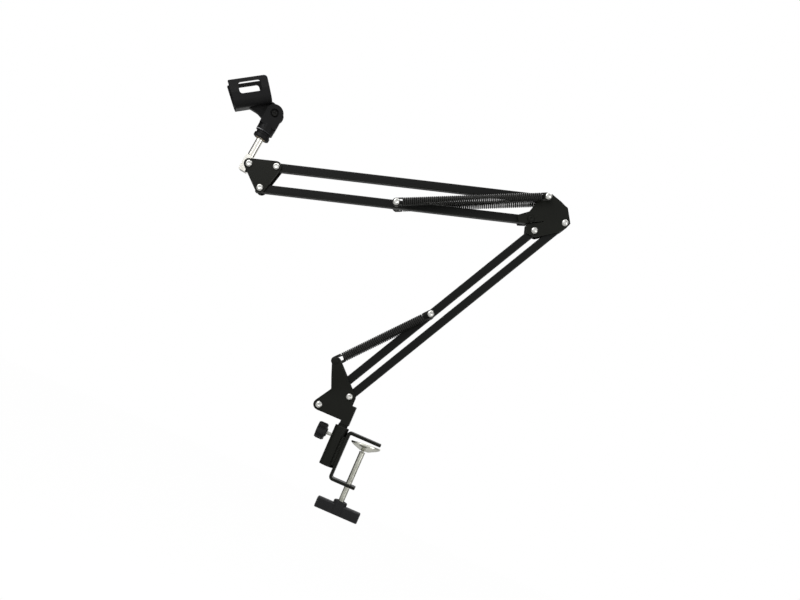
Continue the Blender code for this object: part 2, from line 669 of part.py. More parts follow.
def elbow_outline():
    """Corners of an elbow plate round its lower left pivot, with the slit that frees its tongue."""
    e2 = E2 - E1
    u1, u2 = U1 - E1, U2 - E1
    lobe = LOBE_RADIUS
    inner = Vector((u2.x, u2.z))
    slit_start, slit_end = inner + Vector(SLIT_START), inner + Vector(SLIT_END)
    along = slit_end - slit_start
    across = Vector((along.y, -along.x)).normalized() * SLIT_WIDTH
    return slit_end, along, [
        (-1.35 * lobe, -1.06 * lobe, 0.45 * lobe), (0.76 * lobe, -1.06 * lobe, 0.76 * lobe),
        (e2.x + ELBOW_FOOT_SHIFT, e2.z - 1.7 * lobe, lobe),
        (e2.x + 1.08 * lobe, e2.z + 0.2 * lobe, 0.7 * lobe),
        (e2.x + ELBOW_SHOULDER_SHIFT, e2.z + 2.8 * lobe, 0.25 * lobe),
        (u1.x + 0.5 * lobe, u1.z + lobe, 0.6 * lobe), (u1.x - 1.05 * lobe, u1.z + 0.45 * lobe, 0.8 * lobe),
        (*(inner + Vector(ELBOW_CREST)), TAB_EDGE), (*(inner + Vector(ELBOW_WAIST)), TAB_EDGE * 1.5),
        (*(inner + Vector(TAB_TIP)), TAB_EDGE), (*(inner + Vector(TAB_HEEL)), TAB_EDGE / 2),
        (*slit_start, 0), (*slit_end, 0), (*(slit_end + across), 0), (*(slit_start + across), 0)]


def make_elbow():
    """Two pressed plates with the four pivots of the arms. A slit frees each plate's flared tongue."""
    slit_end, along, corners = elbow_outline()
    e2, u1, u2 = E2 - E1, U1 - E1, U2 - E1
    normal = Vector((-math.sin(ELBOW_FOLD_ANGLE), math.cos(ELBOW_FOLD_ANGLE)))
    start = slit_end.dot(normal)
    slit_line = Vector((-along.y, along.x)).normalized()
    for side, name in ((-1, "front"), (1, "rear")):
        low, high = sorted((side * SHEET_IN, side * SHEET_OUT))
        loops = [fillet(corners)] + [circle(p.x, p.z, BOLT_HOLE) for p in (Vector(), e2, u1, u2)]
        plate = prism(loops, low, high)
        flare(plate, start, start + ELBOW_FOLD_LENGTH, ELBOW_FOLD_ANGLE, side * ELBOW_FLARE,
              lambda p: (Vector((p.x, p.z)) - slit_end).dot(slit_line) > -SLIT_WIDTH / 2)
        part("elbow_plate_" + name, plate, PAINT, E1)
        proud = SHEET_IN + ELBOW_FLARE
        make_spacer("elbow_spacer_inner_" + name, U2, side * BAR_HALF, side * proud, ZINC)
        make_spacer("elbow_spacer_top_" + name, U1, side * BAR_HALF, side * proud, ZINC)
        make_spacer("elbow_spring_spacer_" + name, U1, side * (proud + SHEET),
                    side * (UPPER_SPRING_PLANE - SPRING_WIRE), ZINC)
    make_bolt("elbow_bolt_left", E1, SHEET_OUT, SHEET_OUT)
    make_bolt("elbow_bolt_right", E2, SHEET_OUT, SHEET_OUT)
    reach = UPPER_SPRING_PLANE + SPRING_WIRE + TOUCH_GAP
    make_bolt("elbow_bolt_top", U1, reach, reach)
    make_bolt("elbow_bolt_inner", U2, SHEET_OUT + ELBOW_FLARE, SHEET_OUT + ELBOW_FLARE, PAINT)


def belt(centres, radius, steps=6):
    """Outline of a belt round equal circles, given counter-clockwise."""
    points = []
    for i, here in enumerate(centres):
        before = here - centres[i - 1]
        after = centres[(i + 1) % len(centres)] - here
        first = math.atan2(-before.x, before.z)
        sweep = (math.atan2(-after.x, after.z) - first) % (2 * math.pi)
        for step in range(steps + 1):
            angle = first + sweep * step / steps
            points.append(Vector((here.x + radius * math.cos(angle), here.z + radius * math.sin(angle))))
    return points


def make_head():
    """Two triangular plates between the ends of the upper bars and the swivel block."""
    middle = Vector()
    loops = [belt([middle, H3 - H1, H2 - H1], LOBE_RADIUS)]
    loops += [circle(p.x, p.z, BOLT_HOLE) for p in (middle, H2 - H1, H3 - H1)]
    for side, name in ((-1, "front"), (1, "rear")):
        low, high = sorted((side * SHEET_IN, side * SHEET_OUT))
        part("head_plate_" + name, prism(loops, low, high), PAINT, H1)
    for name, place in (("swivel", H1), ("top", H2), ("bottom", H3)):
        make_bolt("head_bolt_" + name, place, SHEET_OUT, SHEET_OUT)


# Swivel block, rod and microphone clip

def make_swivel():
    """Nickel-plated block that turns on the head's bolt, with the rod screwed into its top."""
    axis = pivot("swivel_axis", H1, ROD_ANGLE - math.pi / 2)
    left = -BLOCK_AXIS_OFFSET - BLOCK_WIDTH / 2
    right = -BLOCK_AXIS_OFFSET + BLOCK_WIDTH / 2
    edge = BLOCK_WIDTH / 12
    ear = BLOCK_EAR
    outline = [(left, -BLOCK_FOOT, edge), (right, -BLOCK_FOOT, edge), (right, -ear, 0), (ear, -ear, ear),
               (ear, ear, ear), (right, ear, 0), (right, BLOCK_TOP, edge), (left, BLOCK_TOP, edge)]
    half = SHEET_IN - BLOCK_CLEARANCE
    block = prism([fillet(outline), circle(0, 0, BOLT_HOLE)], -half, half)
    block = cut(block, rod_along("Z", ROD_TENON_RADIUS + TOUCH_GAP, BLOCK_TOP - ROD_TENON - TOUCH_GAP,
                                 2 * BLOCK_TOP, 20, (-BLOCK_AXIS_OFFSET, 0, 0)))
    part("swivel_block", block, NICKEL, parent=axis)
    foot = BLOCK_TOP + TOUCH_GAP
    top = CLIP_PIVOT - BASE_LENGTH + INSERT_LENGTH
    edge = ROD_RADIUS * 0.2
    rod = turned([(0, top), (ROD_RADIUS - edge, top), (ROD_RADIUS, top - edge), (ROD_RADIUS, foot),
                  (ROD_TENON_RADIUS, foot), (ROD_TENON_RADIUS, BLOCK_TOP - ROD_TENON),
                  (0, BLOCK_TOP - ROD_TENON)], 24)
    part("mic_rod", rod, NICKEL, (-BLOCK_AXIS_OFFSET, 0, 0), axis)
    turning = pivot("clip_turn_axis", (-BLOCK_AXIS_OFFSET, 0, CLIP_PIVOT), parent=axis)
    turning.rotation_euler = (0, 0, CLIP_YAW)
    make_clip_base(turning)
    make_clip(turning)


def make_clip_base(parent):
    """Plastic fork with a brass insert for the rod, the pivot's cross-head screw and its nut."""
    cheek = CHEEK_HALF_DEPTH
    neck = SLOT_FLOOR + CHEEK_GAP * 8
    side = [(-BASE_RADIUS, -neck, 0), (BASE_RADIUS, -neck, 0),
            (BASE_RADIUS, BASE_RADIUS, BASE_RADIUS * 0.98), (-BASE_RADIUS, BASE_RADIUS, BASE_RADIUS * 0.98)]
    fork = prism([fillet(side, 8)], -cheek, cheek)
    low, rim = -BASE_LENGTH, BASE_RADIUS * 0.93
    skirt = turned([(0, -SLOT_FLOOR), (BASE_RADIUS, -SLOT_FLOOR), (BASE_RADIUS, -BASE_SKIRT),
                    (rim * 0.88, -BASE_SKIRT), (rim * 0.88, -BASE_SKIRT - SKIRT_GROOVE),
                    (rim, -BASE_SKIRT - SKIRT_GROOVE - SKIRT_EDGE), (rim, low + SKIRT_EDGE),
                    (rim - SKIRT_EDGE, low), (0, low)], 32)
    fork = join(fork, skirt)
    slot = TONGUE_THICK / 2 + CHEEK_GAP
    fork = cut(fork, box((-2 * BASE_RADIUS, -slot, -SLOT_FLOOR), (2 * BASE_RADIUS, slot, 2 * BASE_RADIUS)),
               rod_along("Y", CLIP_SCREW_RADIUS + HOLE_CLEARANCE, -2 * cheek, 2 * cheek, 16),
               rod_along("Y", RECESS_RADIUS, -2 * cheek, RECESS_DEPTH - cheek, 24),
               rod_along("Y", RECESS_RADIUS * 0.8, cheek - RECESS_DEPTH * 1.2, 2 * cheek, 6),
               rod_along("Z", INSERT_RADIUS + TOUCH_GAP, 2 * low, low + INSERT_LENGTH + TOUCH_GAP * 2, 24))
    part("clip_base", fork, PLASTIC, parent=parent)

    bore = ROD_RADIUS + TOUCH_GAP
    top = low + INSERT_LENGTH
    insert = turned([(bore, top), (INSERT_RADIUS, top), (INSERT_RADIUS, low + TOUCH_GAP),
                     (bore, low + TOUCH_GAP), (bore, top)], 24)
    part("clip_insert", insert, BRASS, parent=parent)

    seat = cheek - RECESS_DEPTH
    nut_seat = cheek - RECESS_DEPTH * 1.2
    head = RECESS_DEPTH * 0.75
    tail = seat + nut_seat + RECESS_DEPTH
    screw = turned([(0, head), (CLIP_SCREW_HEAD * 0.8, head), (CLIP_SCREW_HEAD, head * 0.5),
                    (CLIP_SCREW_HEAD, 0), (CLIP_SCREW_RADIUS, 0), (CLIP_SCREW_RADIUS, -tail), (0, -tail)], 20)
    arm = CLIP_SCREW_HEAD * 0.62
    slot_half = CLIP_SCREW_HEAD * 0.12
    for across in ((arm, slot_half), (slot_half, arm)):
        screw = cut(screw, box((-across[0], -across[1], head * 0.4), (across[0], across[1], 2 * head)))
    part("clip_screw", screw, PLASTIC, (0, -seat - TOUCH_GAP, 0), parent, (math.pi / 2, 0, 0))
    low = nut_seat + TOUCH_GAP
    nut = prism([circle(0, 0, RECESS_RADIUS * 0.8 - TOUCH_GAP * 2, 6),
                 circle(0, 0, CLIP_SCREW_RADIUS + TOUCH_GAP, 16)], low, low + RECESS_DEPTH * 0.8)
    part("clip_nut", nut, ZINC, parent=parent)


def make_clip(parent):
    """Plastic channel with a window in each wall, on a tongue that tilts between the fork's cheeks."""
    axis = pivot("clip_tilt_axis", (0, 0, 0), parent=parent)
    axis.rotation_euler = (0, CLIP_TILT, 0)
    half = CHANNEL_WIDTH / 2
    top = CHANNEL_BASE + CHANNEL_HEIGHT
    wall = CHANNEL_WALL
    # the section's fillets need a little less than the half width
    bend = half * 0.98
    inner = (half - wall) * 0.98
    # both walls stand straight to the waist and lean inwards above it
    waist = CHANNEL_BASE + CHANNEL_WAIST
    lip = half - CHANNEL_PINCH
    section = [(-half, CHANNEL_BASE, bend), (half, CHANNEL_BASE, bend), (half, waist, wall), (lip, top, 0),
               (lip - wall, top, 0), (half - wall, waist, wall), (half - wall, CHANNEL_BASE + wall, inner),
               (wall - half, CHANNEL_BASE + wall, inner), (wall - half, waist, wall), (wall - lip, top, 0),
               (-lip, top, 0), (-half, waist, wall)]
    far = -CHANNEL_OFFSET
    near = far - CHANNEL_LENGTH
    channel = prism([fillet(section, 8)], near - wall, far + wall)
    channel.data.transform(Matrix.Rotation(-math.pi / 2, 4, "Z"))
    lean = CHANNEL_HEIGHT * math.tan(CHANNEL_END_SLOPE)
    side = [(near + lean, CHANNEL_BASE - wall, 0), (far, CHANNEL_BASE - wall, 0),
            (far, top, CHANNEL_CORNER), (near, top, CHANNEL_CORNER / 3)]
    middle = -WINDOW_OFFSET
    radius = WINDOW_HEIGHT / 4
    low, high = top - WINDOW_RIM - WINDOW_HEIGHT, top - WINDOW_RIM
    window = [(middle - WINDOW_LENGTH / 2, low, radius), (middle + WINDOW_LENGTH / 2, low, radius),
              (middle + WINDOW_LENGTH / 2, high, radius), (middle - WINDOW_LENGTH / 2, high, radius)]
    channel = combine(channel, prism([fillet(side)], -CHANNEL_WIDTH, CHANNEL_WIDTH), "INTERSECT")
    channel = cut(channel, prism([fillet(window)], -CHANNEL_WIDTH, CHANNEL_WIDTH))
    lobe = TONGUE_RADIUS
    root = CHANNEL_BASE + wall * 0.6
    slope = 1.8 * lobe
    tongue = [(-slope - lobe, root, 0), (-slope, CHANNEL_BASE * 0.35, lobe),
              (-lobe, -lobe, lobe * 0.9), (lobe, -lobe, lobe * 0.98), (lobe, CHANNEL_BASE * 0.35, lobe * 0.7),
              (far + wall / 2, root + wall / 2, wall), (far - wall, root, 0)]
    blade = prism([fillet(tongue, 6)], -TONGUE_THICK / 2, TONGUE_THICK / 2)
    clip = join(channel, blade)
    clip = cut(clip, rod_along("Y", CLIP_SCREW_RADIUS + HOLE_CLEARANCE, -TONGUE_THICK, TONGUE_THICK, 16))
    part("mic_clip", clip, PLASTIC, parent=axis)


make_clamp()
make_thumb_screw()
make_clamp_screw()
make_base()
make_lower_arm()
make_elbow()
make_upper_arm()
make_head()
make_swivel()

for piece in PARTS.objects:
    if piece.type == "MESH":
        piece.data.shade_smooth()
        piece.data.set_sharp_from_angle(angle=math.radians(35))
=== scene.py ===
import math

import bmesh
import bpy
from mathutils import Euler, Matrix, Vector
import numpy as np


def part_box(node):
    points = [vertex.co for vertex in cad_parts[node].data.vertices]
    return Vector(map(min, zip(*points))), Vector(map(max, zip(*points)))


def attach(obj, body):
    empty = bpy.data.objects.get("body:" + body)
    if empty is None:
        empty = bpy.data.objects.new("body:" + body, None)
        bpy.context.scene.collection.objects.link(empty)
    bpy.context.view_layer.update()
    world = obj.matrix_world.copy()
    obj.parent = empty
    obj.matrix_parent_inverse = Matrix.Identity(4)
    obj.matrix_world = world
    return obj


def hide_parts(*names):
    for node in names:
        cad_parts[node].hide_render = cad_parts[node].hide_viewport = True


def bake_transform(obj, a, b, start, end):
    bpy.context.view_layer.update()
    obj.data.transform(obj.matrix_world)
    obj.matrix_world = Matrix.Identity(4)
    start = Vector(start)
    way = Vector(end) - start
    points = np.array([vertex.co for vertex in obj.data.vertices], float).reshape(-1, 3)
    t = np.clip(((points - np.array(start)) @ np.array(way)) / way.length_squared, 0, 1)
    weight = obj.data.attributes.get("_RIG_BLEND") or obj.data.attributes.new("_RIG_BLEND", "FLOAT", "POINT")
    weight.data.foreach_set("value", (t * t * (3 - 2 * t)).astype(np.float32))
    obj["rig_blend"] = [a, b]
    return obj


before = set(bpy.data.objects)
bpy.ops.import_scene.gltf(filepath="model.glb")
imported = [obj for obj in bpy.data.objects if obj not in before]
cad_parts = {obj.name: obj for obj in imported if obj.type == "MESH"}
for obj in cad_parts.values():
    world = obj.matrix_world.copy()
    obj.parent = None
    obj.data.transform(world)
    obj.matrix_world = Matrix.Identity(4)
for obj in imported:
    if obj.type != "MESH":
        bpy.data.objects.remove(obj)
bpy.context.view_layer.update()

studio = bpy.context.scene

# Camera of the photograph: it looks straight at the plane of the arms and is rolled, so that the
# clamp leans in the picture. It stands level with the base bracket, its lens shifted up to the arms.
camera_place = (0.0179, -1.009, 0.0614)
across = Vector((0.917, 0, 0.399)).normalized()
upward = Vector((-0.399, 0, 0.917)).normalized()
towards = across.cross(upward)
photo_view = bpy.data.cameras.new("photo_view")
photo_view.lens = 36.7
photo_view.sensor_width = 36
photo_view.shift_y = 0.1274
camera = bpy.data.objects.new("photo_view", photo_view)
camera.matrix_world = (Matrix.Translation(camera_place)
                       @ Matrix((across, upward, towards)).transposed().to_4x4())
studio.collection.objects.link(camera)
studio.camera = camera
studio.view_settings.view_transform = "Standard"


# Studio floor: a wide sheet of white board as far below the clamp as a desk's top stands above
# the ground. Where the camera sees it, it is lifted to white and keeps a soft shadow.
def linear(colour):
    """Linear red, green, blue and alpha of an sRGB hex value."""
    shares = [int(colour[i:i + 2], 16) / 255 for i in (1, 3, 5)]
    return [s / 12.92 if s < 0.04045 else ((s + 0.055) / 1.055) ** 2.4 for s in shares] + [1]


def add_node(tree, kind, sockets=None, **settings):
    """Add a node with its settings. Each socket takes a value or the output it is linked to."""
    node = tree.nodes.new("ShaderNode" + kind)
    for name, value in settings.items():
        setattr(node, name, value)
    for name, value in (sockets or {}).items():
        if isinstance(value, bpy.types.NodeSocket):
            tree.links.new(value, node.inputs[name])
        else:
            node.inputs[name].default_value = value
    return node


floor_height = -0.74
floor_width = 9.0
floor_lift, floor_white = 0.93, 1.04
board = bpy.data.materials.new("matt_white_studio_board")
board.use_nodes = True
nodes = board.node_tree
nodes.nodes.clear()
ray = add_node(nodes, "LightPath")
lift = add_node(nodes, "Math", {0: ray.outputs["Is Camera Ray"], 1: floor_lift}, operation="MULTIPLY")
paper = add_node(nodes, "BsdfDiffuse", {"Color": linear("#f4f4f2")})
white = add_node(nodes, "Emission", {"Color": (1, 1, 1, 1), "Strength": floor_white})
shown = add_node(nodes, "MixShader", {0: lift.outputs[0], 1: paper.outputs[0], 2: white.outputs[0]})
add_node(nodes, "OutputMaterial", {"Surface": shown.outputs[0]})
sheet = bmesh.new()
bmesh.ops.create_grid(sheet, x_segments=2, y_segments=2, size=floor_width / 2)
bmesh.ops.translate(sheet, verts=sheet.verts, vec=(0, 0, floor_height))
floor_mesh = bpy.data.meshes.new("studio_floor")
sheet.to_mesh(floor_mesh)
sheet.free()
floor_mesh.materials.append(board)
studio_floor = bpy.data.objects.new("studio_floor", floor_mesh)
studio.collection.objects.link(studio_floor)

# Studio light: a white tent that the camera sees as white, and three large soft lamps. Bright
# metal also sees the tent's dark opening on the left and its greyer right side at its edges.
tent_light = 0.4
tent_left = 0.03
tent_right = 0.4
tent_opening = (-0.85, 0.5, 0.0)
tent = bpy.data.worlds.new("white_tent")
studio.world = tent
tent.use_nodes = True
nodes = tent.node_tree
nodes.nodes.clear()
ray = add_node(nodes, "LightPath")
around = add_node(nodes, "TexCoord")
direction = add_node(nodes, "SeparateXYZ", {0: around.outputs["Generated"]})
facing = add_node(nodes, "VectorMath", {0: around.outputs["Generated"], 1: tent_opening},
                  operation="DOT_PRODUCT")
left = add_node(nodes, "MapRange", {"Value": facing.outputs["Value"], "From Min": 0.55, "From Max": 0.85,
                                    "To Min": 1.0, "To Max": tent_left}, interpolation_type="SMOOTHSTEP")
right = add_node(nodes, "MapRange", {"Value": direction.outputs["X"], "From Min": 0.35, "From Max": 0.9,
                                     "To Min": 1.0, "To Max": tent_right}, interpolation_type="SMOOTHSTEP")
glossy = add_node(nodes, "Math", {0: left.outputs[0], 1: right.outputs[0]}, operation="MULTIPLY")
mirror = add_node(nodes, "Mix", {0: ray.outputs["Is Glossy Ray"], 2: tent_light,
                                 3: glossy.outputs[0]}, data_type="FLOAT")
direct = add_node(nodes, "Math", {0: ray.outputs["Is Camera Ray"], 1: ray.outputs["Is Transmission Ray"]},
                  operation="MAXIMUM")
strength = add_node(nodes, "Mix", {0: direct.outputs[0], 2: mirror.outputs[0], 3: 1.0},
                    data_type="FLOAT")
glow = add_node(nodes, "Background", {"Color": (1, 1, 1, 1), "Strength": strength.outputs[0]})
add_node(nodes, "OutputWorld", {"Surface": glow.outputs[0]})
for name, place, aim, width, power in (
        ("soft_key", (-0.9, -1.1, 1.1), (-0.05, 0, 0.2), 0.9, 13),
        ("soft_fill", (1.2, -0.9, 0.2), (0.0, 0, 0.15), 0.8, 5),
        ("soft_top", (0.1, 0.5, 1.3), (-0.05, 0, 0.2), 0.9, 7)):
    lamp = bpy.data.lights.new(name, "AREA")
    lamp.shape = "SQUARE"
    lamp.size = width
    lamp.energy = power
    stand = bpy.data.objects.new(name, lamp)
    stand.matrix_world = (Matrix.Translation(place)
                          @ (Vector(aim) - Vector(place)).to_track_quat("-Z", "Y").to_matrix().to_4x4())
    studio.collection.objects.link(stand)


# Desk clamp: thick steel strip bent to a C, with a round sleeve welded to its spine. Both are
# powder coated satin black. The strip's sheared edges are rounded over by the coat.
def round_edges(body, edges, radius, steps):
    """Bevel these edges of a bmesh to a round and give the new faces a wear value of 1."""
    wear_and_painted_highlight = body.faces.layers.float.new("wear_and_painted_highlight")
    rounds = bmesh.ops.bevel(body, geom=edges, offset=radius, segments=steps, affect="EDGES", profile=0.5,
                             material=-1, clamp_overlap=True)
    for face in rounds["faces"]:
        face[wear_and_painted_highlight] = 1.0


def rounded_copy(node, radius, steps=2):
    """A solid's copy as a bmesh, merged and with whole flats, its sharp edges rounded."""
    flat, sharp = math.radians(1.5), math.radians(35)
    body = bmesh.new()
    body.from_mesh(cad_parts[node].data)
    bmesh.ops.remove_doubles(body, verts=body.verts, dist=2e-6)
    bmesh.ops.dissolve_limit(body, angle_limit=flat, verts=body.verts, edges=body.edges)
    crisp = [edge for edge in body.edges if edge.is_manifold and edge.calc_face_angle() > sharp]
    round_edges(body, crisp, radius, steps)
    return body


def set_piece(body, name, finish, slot, rides_on, *stands_for):
    """Make a shaped bmesh a piece: smooth faces with crisp edges, its finish and its body."""
    bmesh.ops.recalc_face_normals(body, faces=body.faces)
    mesh = bpy.data.meshes.new(name)
    body.to_mesh(mesh)
    body.free()
    mesh.shade_smooth()
    mesh.set_sharp_from_angle(angle=math.radians(40))
    mesh.materials.append(finish)
    piece = bpy.data.objects.new(name, mesh)
    studio.collection.objects.link(piece)
    piece.modifiers.new("even_flats", "WEIGHTED_NORMAL").keep_sharp = True
    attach(piece, rides_on)
    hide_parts(*stands_for)


def new_finish(name, values):
    """A new material, its node tree, its shader with these plain values, and Object coordinates."""
    made = bpy.data.materials.new(name)
    made.use_nodes = True
    tree = made.node_tree
    shader = tree.nodes["Principled BSDF"]
    for socket, value in values.items():
        shader.inputs[socket].default_value = value
    return made, tree, shader, add_node(tree, "TexCoord").outputs["Object"]


# Satin powder coat on steel: a near-black film with a slight orange peel and a few specks of dust,
# thinner and greyer on the edges, and uneven in gloss. The real peel and specks are under 1 mm and
# are drawn coarser, so that they show.
peel = 0.002
clouds = 0.03
specks = 0.0012
powder_coat, nodes, shader, place = new_finish("satin_black_powder_coat", {
    "Specular IOR Level": 0.1, "IOR": 1.5})
cloud = add_node(nodes, "TexNoise", {"Vector": place, "Scale": 1 / clouds, "Detail": 3.0})
grain = add_node(nodes, "TexNoise", {"Vector": place, "Scale": 1 / peel, "Detail": 2.0})
speck = add_node(nodes, "TexNoise", {"Vector": place, "Scale": 1 / specks, "Detail": 0.0})
tone = add_node(nodes, "Mix", {0: cloud.outputs[0], 6: linear("#161714"), 7: linear("#1a1b17")},
                data_type="RGBA")
wear_and_painted_highlight = add_node(nodes, "Attribute", attribute_name="wear_and_painted_highlight")
rub = add_node(nodes, "Math", {0: wear_and_painted_highlight.outputs["Fac"], 1: cloud.outputs[0]}, operation="MULTIPLY")
edge = add_node(nodes, "Mix", {0: rub.outputs[0], 6: tone.outputs[2], 7: linear("#3b3b37")},
                data_type="RGBA")
dust = add_node(nodes, "MapRange", {"Value": speck.outputs[0], "From Min": 0.7, "From Max": 0.8,
                                    "To Max": 0.15})
dusty = add_node(nodes, "Mix", {0: dust.outputs[0], 6: edge.outputs[2], 7: linear("#33332f")},
                 data_type="RGBA")
nodes.links.new(dusty.outputs[2], shader.inputs["Base Color"])
gloss = add_node(nodes, "MapRange", {"Value": cloud.outputs[0], "From Min": 0.3, "From Max": 0.7,
                                     "To Min": 0.46, "To Max": 0.41})
nodes.links.new(gloss.outputs[0], shader.inputs["Roughness"])
dents = add_node(nodes, "Bump", {"Height": grain.outputs[0], "Strength": 0.2, "Distance": 0.00006})
nodes.links.new(dents.outputs[0], shader.inputs["Normal"])

strip_edge, sleeve_edge = 0.0006, 0.0005
set_piece(rounded_copy("clamp_frame", strip_edge), "clamp_strip", powder_coat, "black_paint", "clamp",
          "clamp_frame")
set_piece(rounded_copy("pivot_sleeve", sleeve_edge), "welded_sleeve", powder_coat, "black_paint", "clamp",
          "pivot_sleeve")


# Weld between the sleeve and the clamp's spine: one rippled bead on each side of the sleeve, laid
# before the coat, so it is under the same black film.
def wire_body(points, radius, swell=None):
    """A round wire along points as a bmesh. Swell gives each point's share of the radius."""
    path = bpy.data.curves.new("wire", "CURVE")
    path.dimensions = "3D"
    path.bevel_depth = radius
    path.bevel_resolution = 2
    path.use_fill_caps = True
    run = path.splines.new("POLY")
    run.points.add(len(points) - 1)
    for number, point in enumerate(points):
        run.points[number].co = (*point, 1)
        run.points[number].radius = swell[number] if swell else 1.0
    drawn = bpy.data.objects.new("wire", path)
    mesh = bpy.data.meshes.new_from_object(drawn)
    body = bmesh.new()
    body.from_mesh(mesh)
    bmesh.ops.remove_doubles(body, verts=body.verts, dist=1e-6)
    bpy.data.objects.remove(drawn)
    bpy.data.meshes.remove(mesh)
    return body


bead_radius = 0.0029
bead_ripple = 0.0018
bead_steps = 6
bead_x, bead_y = -0.0279, 0.0073
bead_foot, bead_margins = 0.004, 0.014
sleeve_low, sleeve_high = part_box("pivot_sleeve")
ripples = int((sleeve_high.z - sleeve_low.z - bead_margins) / bead_ripple)
heights = [sleeve_low.z + bead_foot + bead_ripple * i / bead_steps for i in range(ripples * bead_steps)]
swell = [0.82 + 0.18 * abs(math.sin(math.pi * i / bead_steps)) for i in range(len(heights))]
for side, name in ((-1, "front"), (1, "rear")):
    bead = [(bead_x, side * bead_y, height) for height in heights]
    set_piece(wire_body(bead, bead_radius, swell), "weld_bead_" + name, powder_coat, "black_paint",
              "clamp")


# Thumb screw: a zinc-plated threaded stud through the sleeve's wall, with a six-lobed plastic knob
# moulded on its end. It is backed off, so that the arm can swivel.
def turned(body, rings, place, sides=32, hollow=False):
    """Bridge circles of (radius, height) into a turned shape. A third number gives a ring's sides.

    A solid shape is capped at both ends. A hollow one has its last circle bridged to its first.
    """
    travel = body.verts.layers.float.get("turned_mm") or body.verts.layers.float.new("turned_mm")
    before = set(body.verts)
    loops = []
    for number, (radius, height, *flats) in enumerate(rings):
        capped = not hollow and number in (0, len(rings) - 1)
        ring = bmesh.ops.create_circle(body, cap_ends=capped, radius=radius,
                                       segments=flats[0] if flats else sides,
                                       matrix=Matrix.Translation((0, 0, height)))["verts"]
        for vert in ring:
            vert[travel] = 1000 * (radius + abs(height))
        loops.append([edge for edge in body.edges if edge.verts[0] in ring and edge.verts[1] in ring])
    for lower, upper in zip(loops, loops[1:] + loops[:1] if hollow else loops[1:]):
        bmesh.ops.bridge_loops(body, edges=lower + upper)
    bmesh.ops.transform(body, matrix=place, verts=[vert for vert in body.verts if vert not in before])
    return body


def thread(body, crest, root, pitch, low, high, place, steps=20):
    """Wind a thread's ridge round the Z axis of a place from low to high, and close its two ends."""
    before = set(body.verts)
    rise = pitch / 2
    flat = pitch / 5
    corners = [body.verts.new(place @ Vector((radius, 0, low + height))) for radius, height in (
        (root, -rise), (crest, -flat), (crest, flat), (root, rise))]
    ridge = [body.edges.new((corners[i - 1], corners[i])) for i in range(4)]
    turns = (high - low) / pitch
    axis = (place.to_3x3() @ Vector((0, 0, 1))).normalized()
    bmesh.ops.spin(body, geom=corners + ridge, cent=place.translation, axis=axis, angle=2 * math.pi * turns,
                   dvec=axis * pitch / steps, steps=round(turns * steps))
    ends = [edge for edge in body.edges if edge.is_boundary and edge.verts[0] not in before]
    bmesh.ops.holes_fill(body, edges=ends, sides=4)


def patchy_metal(name, patch, detail, tones, dullness, spread=(0.0, 1.0), metallic=1.0):
    """A metal whose tone and roughness drift from the first to the second value in patches this wide.

    Spread is the range of the noise over which the roughness drifts.
    """
    made, tree, shader, place = new_finish(name, {"Metallic": metallic})
    cloud = add_node(tree, "TexNoise", {"Vector": place, "Scale": 1 / patch, "Detail": detail})
    tone = add_node(tree, "Mix", {0: cloud.outputs[0], 6: linear(tones[0]), 7: linear(tones[1])},
                    data_type="RGBA")
    tree.links.new(tone.outputs[2], shader.inputs["Base Color"])
    dull = add_node(tree, "MapRange", {"Value": cloud.outputs[0], "From Min": spread[0],
                                       "From Max": spread[1], "To Min": dullness[0], "To Max": dullness[1]})
    tree.links.new(dull.outputs[0], shader.inputs["Roughness"])
    return made


def turning_rings(made, apart, strength, depth):
    """Give a finish the fine rings that a lathe leaves, as bump, this many millimetres apart."""
    tree = made.node_tree
    turned_mm = add_node(tree, "Attribute", attribute_name="turned_mm")
    turns = add_node(tree, "Math", {0: turned_mm.outputs["Fac"], 1: 2 * math.pi / apart},
                     operation="MULTIPLY")
    wave = add_node(tree, "Math", {0: turns.outputs[0]}, operation="SINE")
    marks = add_node(tree, "Bump", {"Height": wave.outputs[0], "Strength": strength, "Distance": depth})
    tree.links.new(marks.outputs[0], tree.nodes["Principled BSDF"].inputs["Normal"])


# Bright zinc plate on steel screws: a cool silver film with dull patches 1.8 mm wide and the tool's
# fine rings, drawn 0.4 mm apart so that they show.
zinc_plate = patchy_metal("bright_zinc_plate", 0.0018, 3.0, ("#b4b4b0", "#dededa"), (0.2, 0.4), (0.35, 0.7))
turning_rings(zinc_plate, 0.4, 0.15, 0.00003)

# Moulded black ABS: matt, with the fine grain of a spark-eroded mould, drawn 1 mm coarse so that
# it shows, and slightly paler where hands rub the edges.
mould_grain, mould_clouds = 0.001, 0.012
moulded, nodes, shader, place = new_finish("moulded_black_abs", {"Specular IOR Level": 0.14, "IOR": 1.5})
grain = add_node(nodes, "TexNoise", {"Vector": place, "Scale": 1 / mould_grain, "Detail": 3.0})
cloud = add_node(nodes, "TexNoise", {"Vector": place, "Scale": 1 / mould_clouds, "Detail": 2.0})
wear_and_painted_highlight = add_node(nodes, "Attribute", attribute_name="wear_and_painted_highlight")
tone = add_node(nodes, "Mix", {0: cloud.outputs[0], 6: linear("#1a1a1b"), 7: linear("#252526")},
                data_type="RGBA")
rub = add_node(nodes, "Math", {0: wear_and_painted_highlight.outputs["Fac"], 1: 0.35}, operation="MULTIPLY")
pale = add_node(nodes, "Mix", {0: rub.outputs[0], 6: tone.outputs[2], 7: linear("#444446")},
                data_type="RGBA")
nodes.links.new(pale.outputs[2], shader.inputs["Base Color"])
dull = add_node(nodes, "MapRange", {"Value": grain.outputs[0], "To Min": 0.46, "To Max": 0.64})
nodes.links.new(dull.outputs[0], shader.inputs["Roughness"])
pits = add_node(nodes, "Bump", {"Height": grain.outputs[0], "Strength": 0.3, "Distance": 0.00006})
nodes.links.new(pits.outputs[0], shader.inputs["Normal"])

